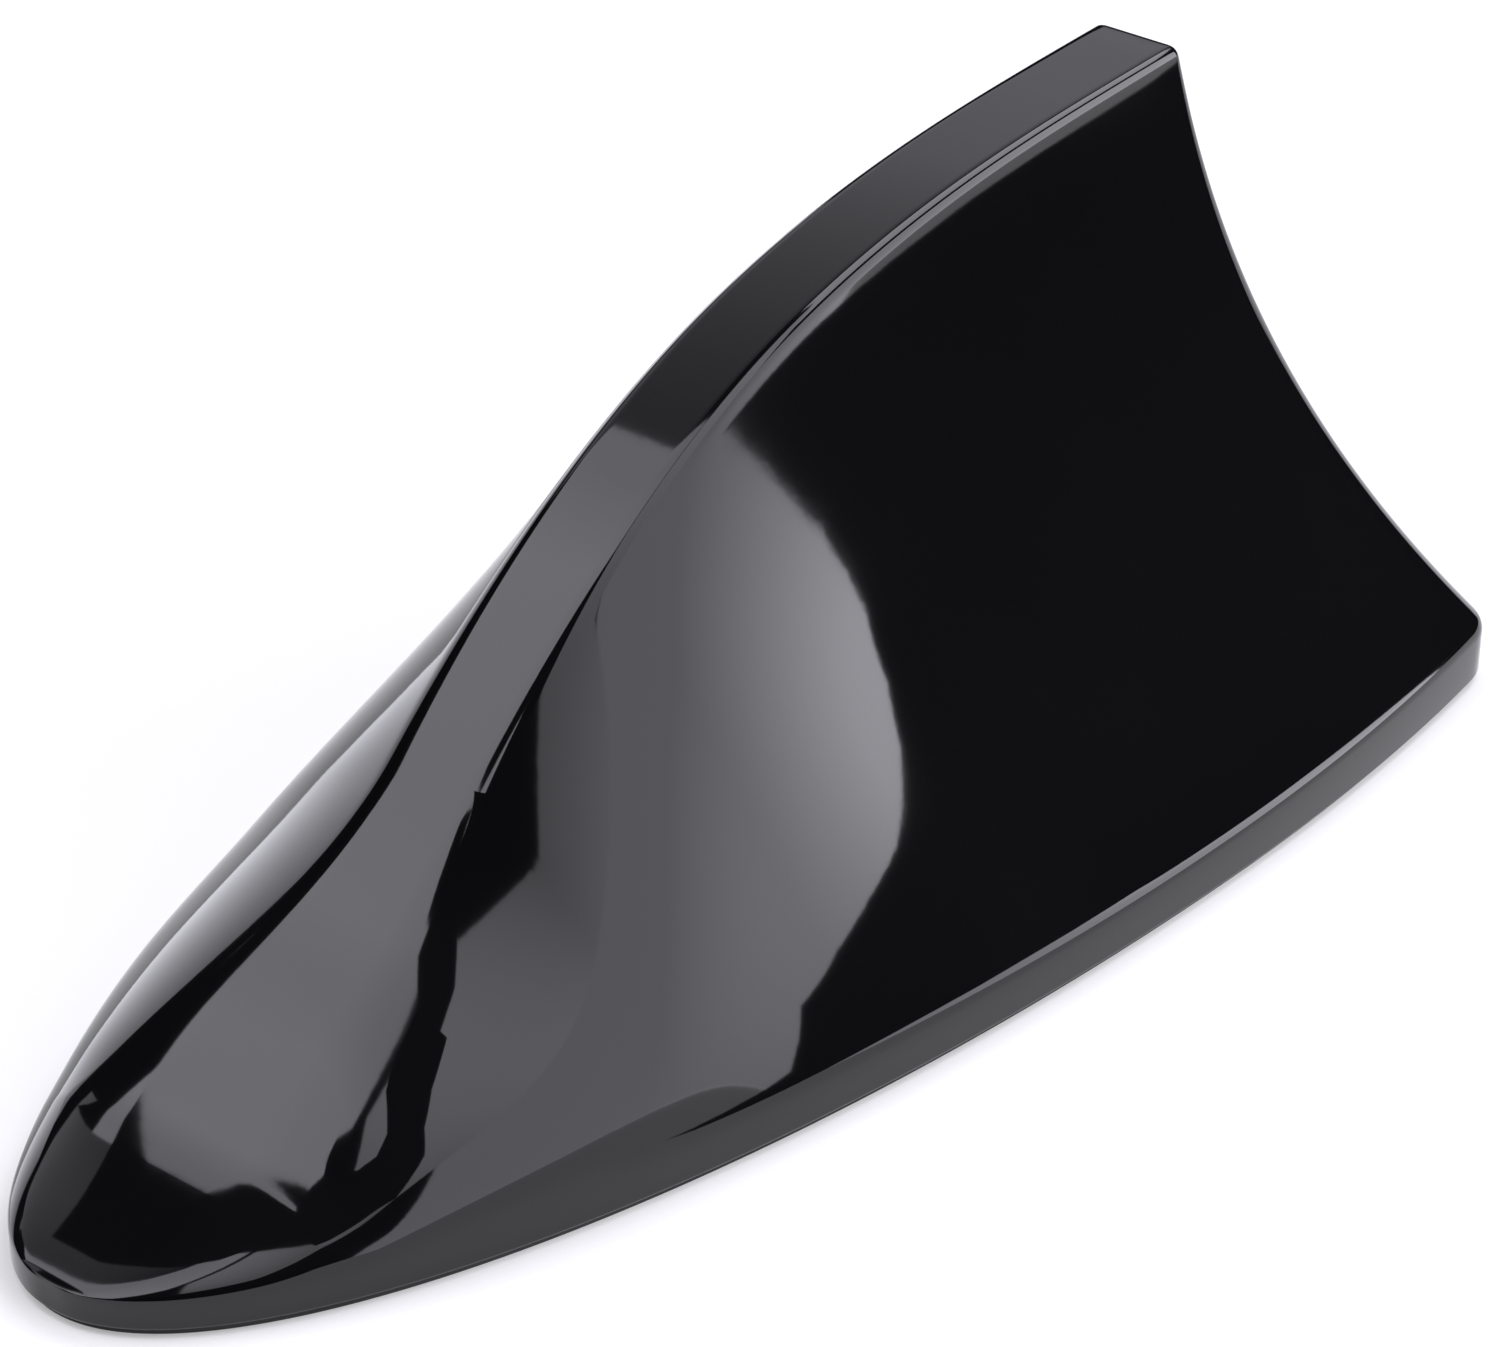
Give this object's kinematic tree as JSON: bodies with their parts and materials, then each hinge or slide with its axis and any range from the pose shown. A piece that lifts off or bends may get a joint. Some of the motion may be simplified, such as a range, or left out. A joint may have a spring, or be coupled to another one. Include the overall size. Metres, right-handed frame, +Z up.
{
  "type": "shark fin roof aerial",
  "caption": "Glossy fin shaped car roof aerial that tapes to the roof, with its base plate, seal, amplifier board and coil inside.",
  "frame": {"origin": "on the roof skin, under the middle of the length", "axes": "+X from the nose to the tail, +Z up from the roof"},
  "size_m": [0.1664, 0.07, 0.0658],
  "materials": {
    "gloss_black": "moulded gloss black",
    "seal_rubber": "matt black rubber",
    "tape_foam": "dark grey acrylic foam tape",
    "base_plastic": "fine textured black plastic",
    "plated_steel": "zinc plated",
    "tinned_steel": "bright tinned sheet",
    "board_green": "green solder mask",
    "chip_black": "moulded black resin",
    "ceramic_tan": "fired ceramic",
    "sleeve_blue": "shrunk sleeve",
    "coil_copper": "enamelled copper wire",
    "terminal_brass": "bright brass",
    "holder_plastic": "natural moulded plastic",
    "pad_foam": "soft open cell foam"
  },
  "bodies": {
    "root": {"cover": "gloss_black", "edge_seal": "seal_rubber", "adhesive_tape": "tape_foam", "base_plate": "base_plastic", "cover_screws": "plated_steel", "lead_grommet": "seal_rubber", "earth_plate": "tinned_steel", "circuit_board": "board_green", "board_screws": "plated_steel", "holder_screws": "plated_steel", "shield_can": "tinned_steel", "amplifier_chip": "chip_black", "chip_capacitors": "ceramic_tan", "filter_capacitor": "sleeve_blue", "tuning_coils": "coil_copper", "lead_terminal": "terminal_brass", "coil_holder": "holder_plastic", "helical_coil": "coil_copper", "coil_pin": "terminal_brass", "radiator_cap": "tinned_steel", "cap_clip": "terminal_brass", "foam_pad": "pad_foam"}
  },
  "joints": []
}
